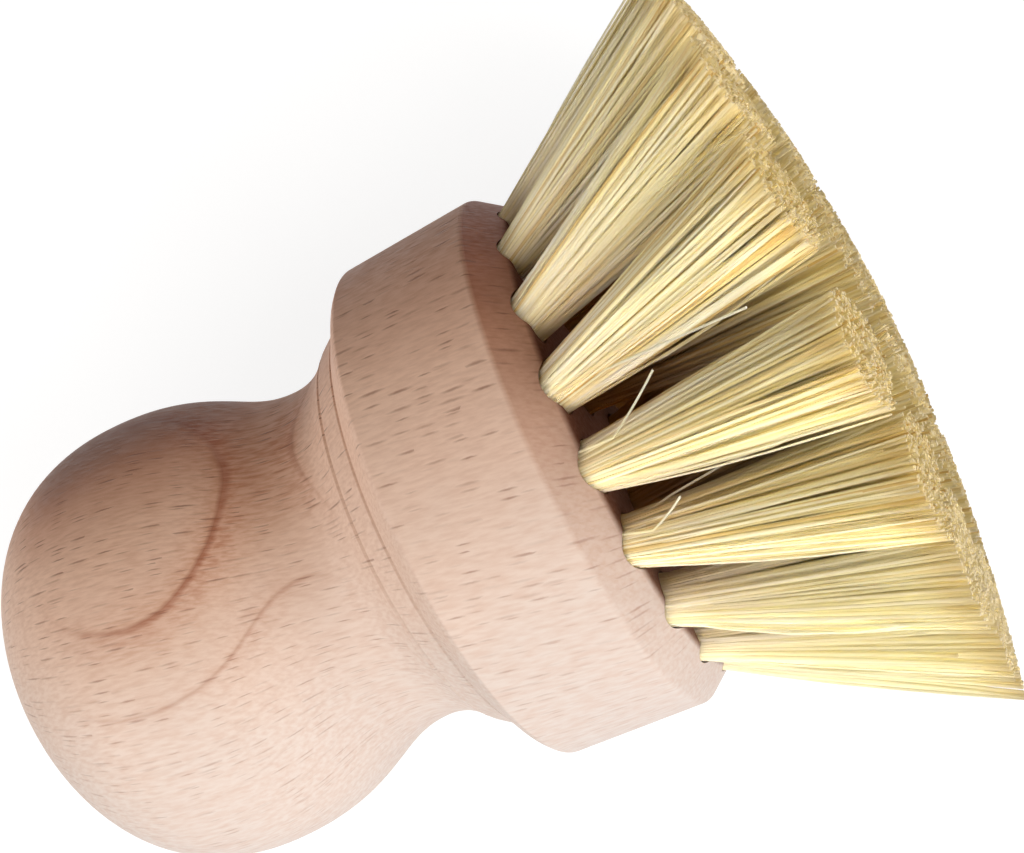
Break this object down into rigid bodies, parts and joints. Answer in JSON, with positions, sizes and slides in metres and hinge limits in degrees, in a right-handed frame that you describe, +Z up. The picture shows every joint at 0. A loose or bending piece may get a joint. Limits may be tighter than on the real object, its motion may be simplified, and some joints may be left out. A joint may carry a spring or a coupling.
{
  "type": "pot brush",
  "caption": "Palm-held pot brush: a turned beech bulb handle with a broad drilled head, set with rings of pale plant-fibre tufts that flare to a shallow trimmed dome; lies on its side.",
  "frame": {"origin": "on the floor under the middle of the brush's box, as it lies on its side", "axes": "+Z up; +X along the brush, from the bulb to the fibre tips; the brush's own axis lies in the XZ plane and rises about 11 degrees towards the tips"},
  "size_m": [0.093, 0.0748, 0.0727],
  "materials": {
    "beech": "fine-sanded bare beech with short dark pores",
    "plant_fibre": "stiff straw-coloured plant fibre, cut square at the tips",
    "anchor_steel": "bright flat wire"
  },
  "bodies": {
    "root": {"handle": "beech", "outer_tuft_01": "plant_fibre", "outer_tuft_02": "plant_fibre", "outer_tuft_03": "plant_fibre", "outer_tuft_04": "plant_fibre", "outer_tuft_05": "plant_fibre", "outer_tuft_06": "plant_fibre", "outer_tuft_07": "plant_fibre", "outer_tuft_08": "plant_fibre", "outer_tuft_09": "plant_fibre", "outer_tuft_10": "plant_fibre", "outer_tuft_11": "plant_fibre", "outer_tuft_12": "plant_fibre", "outer_tuft_13": "plant_fibre", "outer_tuft_14": "plant_fibre", "outer_tuft_15": "plant_fibre", "outer_tuft_16": "plant_fibre", "outer_tuft_17": "plant_fibre", "outer_tuft_18": "plant_fibre", "outer_tuft_19": "plant_fibre", "middle_tuft_01": "plant_fibre", "middle_tuft_02": "plant_fibre", "middle_tuft_03": "plant_fibre", "middle_tuft_04": "plant_fibre", "middle_tuft_05": "plant_fibre", "middle_tuft_06": "plant_fibre", "middle_tuft_07": "plant_fibre", "inner_tuft_01": "plant_fibre", "inner_tuft_02": "plant_fibre", "inner_tuft_03": "plant_fibre", "outer_anchor_01": "anchor_steel", "outer_anchor_02": "anchor_steel", "outer_anchor_03": "anchor_steel", "outer_anchor_04": "anchor_steel", "outer_anchor_05": "anchor_steel", "outer_anchor_06": "anchor_steel", "outer_anchor_07": "anchor_steel", "outer_anchor_08": "anchor_steel", "outer_anchor_09": "anchor_steel", "outer_anchor_10": "anchor_steel", "outer_anchor_11": "anchor_steel", "outer_anchor_12": "anchor_steel", "outer_anchor_13": "anchor_steel", "outer_anchor_14": "anchor_steel", "outer_anchor_15": "anchor_steel", "outer_anchor_16": "anchor_steel", "outer_anchor_17": "anchor_steel", "outer_anchor_18": "anchor_steel", "outer_anchor_19": "anchor_steel", "middle_anchor_01": "anchor_steel", "middle_anchor_02": "anchor_steel", "middle_anchor_03": "anchor_steel", "middle_anchor_04": "anchor_steel", "middle_anchor_05": "anchor_steel", "middle_anchor_06": "anchor_steel", "middle_anchor_07": "anchor_steel", "inner_anchor_01": "anchor_steel", "inner_anchor_02": "anchor_steel", "inner_anchor_03": "anchor_steel"}
  },
  "joints": []
}
